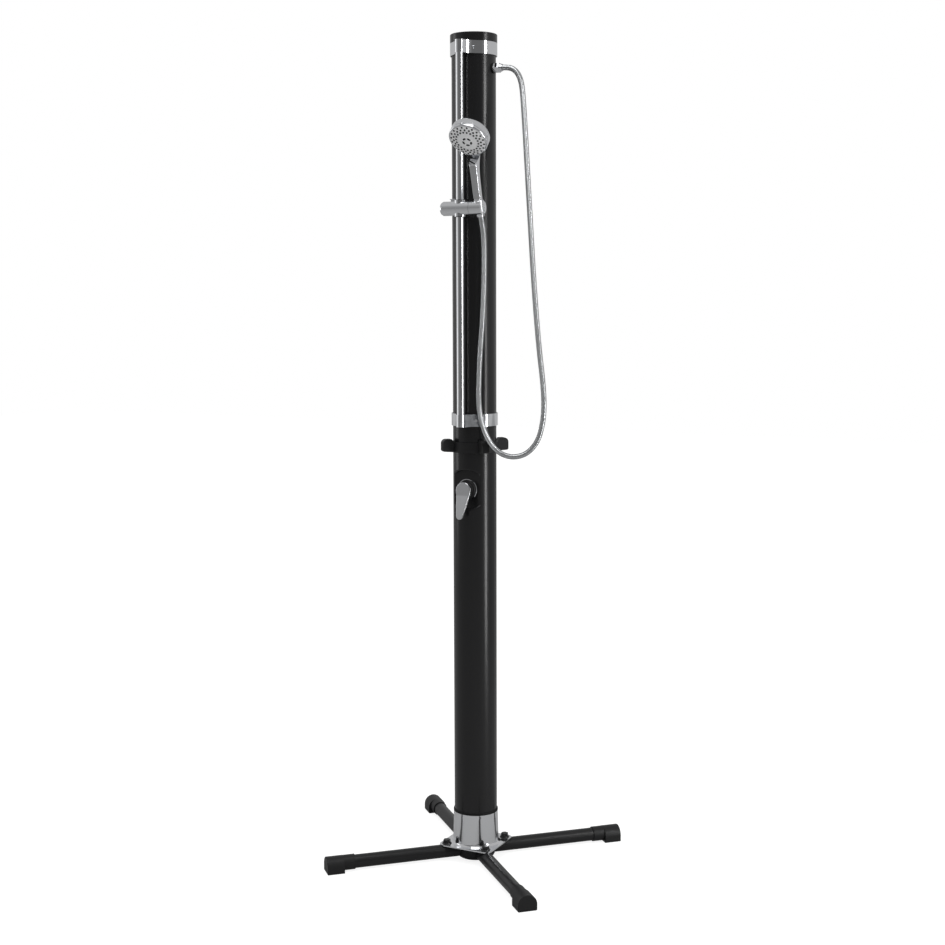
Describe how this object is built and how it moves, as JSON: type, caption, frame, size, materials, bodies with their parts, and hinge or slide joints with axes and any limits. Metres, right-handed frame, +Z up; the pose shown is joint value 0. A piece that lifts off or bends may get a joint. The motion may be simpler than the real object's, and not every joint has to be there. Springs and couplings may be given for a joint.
{
  "type": "solar outdoor shower",
  "caption": "Free-standing solar shower: black two-part tank column on a four-leg base, lever mixer, slider rail with tilting holder, hand shower and steel hose.",
  "frame": {"origin": "on the ground, on the column's axis", "axes": "+Z up along the column, front with the mixer and rail towards -Y, hose outlet towards +X"},
  "size_m": [0.599, 0.599, 2.096],
  "materials": {
    "black_plastic": "glossy black plastic tube",
    "matte_black": "matt black moulded plastic",
    "black_steel": "black coated steel",
    "chrome": "polished chrome",
    "plated_plastic": "chrome-plated plastic",
    "satin_grey": "satin grey plastic",
    "spray_grey": "light grey plastic",
    "black_rubber": "black rubber",
    "steel_hose": "wound steel hose",
    "brass": "turned brass",
    "pipe": "flexible feed pipe"
  },
  "bodies": {
    "column": {"lower_tube": "black_plastic", "upper_tube": "black_plastic", "top_cap": "black_plastic", "foot_front_left": "matte_black", "foot_front_right": "matte_black", "foot_rear_right": "matte_black", "foot_rear_left": "matte_black", "leg_hub": "matte_black", "lower_coupling": "matte_black", "upper_coupling": "matte_black", "base_plug": "matte_black", "outlet_backnut": "matte_black", "inlet_backnut": "matte_black", "drain_plug": "matte_black", "strap_liners": "matte_black", "leg_front_left": "black_steel", "leg_front_right": "black_steel", "leg_rear_right": "black_steel", "leg_rear_left": "black_steel", "leg_bolts": "black_steel", "leg_inserts": "black_steel", "base_flange": "chrome", "lower_strap": "chrome", "upper_strap": "chrome", "strap_screws": "chrome", "rail": "chrome", "hose_nut": "chrome", "trim_ring": "chrome", "collar_screws": "chrome", "rail_plugs": "plated_plastic", "collar_seal": "black_rubber", "union_seal": "black_rubber", "cap_seal": "black_rubber", "outlet_washer": "black_rubber", "shower_hose": "steel_hose", "mixer_body": "brass", "mixer_cartridge": "brass", "outlet_nipple": "brass", "inlet_nipple": "brass", "cold_pipe": "pipe", "hot_pipe": "pipe", "mixed_pipe": "pipe"},
    "union_nut": {"union_nut": "matte_black"},
    "slider": {"slider_body": "plated_plastic", "slider_bush": "matte_black", "slider_end_cap": "plated_plastic", "slider_lever_pin": "chrome", "tilt_axle": "brass", "tilt_washer": "black_rubber"},
    "slider_lever": {"slider_lever": "plated_plastic"},
    "holder": {"handset_holder": "plated_plastic"},
    "handset": {"cone_nut": "plated_plastic", "handset_shell": "plated_plastic", "handle_panel": "satin_grey", "spray_face": "spray_grey", "spray_nozzles": "black_rubber", "spray_centre": "black_rubber"},
    "spray_selector": {"selector_ring": "plated_plastic"},
    "mixer_hub": {"mixer_hub": "chrome"},
    "mixer_lever": {"mixer_lever": "chrome"}
  },
  "joints": [
    {"name": "union_nut_turn", "type": "hinge", "parent": "column", "child": "union_nut", "pos_m": [0, 0, 1.074], "axis": [0, 0, 1], "continuous": true},
    {"name": "slider_slide", "type": "slide", "parent": "column", "child": "slider", "axis": [0, 0, 1], "range_m": [-0.485, 0.347], "deforming": ["shower_hose"]},
    {"name": "slider_lever_press", "type": "hinge", "parent": "slider", "child": "slider_lever", "pos_m": [-0.0235, -0.064, 1.676], "axis": [1, 0, 0], "range_deg": [0, 12], "stiffness_Nm_per_rad": 0.05, "springref_deg": -5.73},
    {"name": "holder_tilt", "type": "hinge", "parent": "slider", "child": "holder", "pos_m": [0.04, -0.076, 1.666], "axis": [1, 0, 0], "range_deg": [-10, 35], "deforming": ["shower_hose"]},
    {"name": "handset_lift", "type": "slide", "parent": "holder", "child": "handset", "axis": [0, -0.2756, 0.9613], "range_m": [0, 0.05], "deforming": ["shower_hose"]},
    {"name": "spray_select", "type": "hinge", "parent": "handset", "child": "spray_selector", "pos_m": [0.054, -0.14072, 1.81878], "axis": [0, -0.682, -0.7314], "range_deg": [-40, 40]},
    {"name": "mixer_turn", "type": "hinge", "parent": "column", "child": "mixer_hub", "pos_m": [0, -0.046, 0.968], "axis": [0, -1, 0], "range_deg": [-45, 45]},
    {"name": "mixer_lift", "type": "hinge", "parent": "mixer_hub", "child": "mixer_lever", "pos_m": [0, -0.054, 0.968], "axis": [-1, 0, 0], "range_deg": [0, 25]}
  ]
}
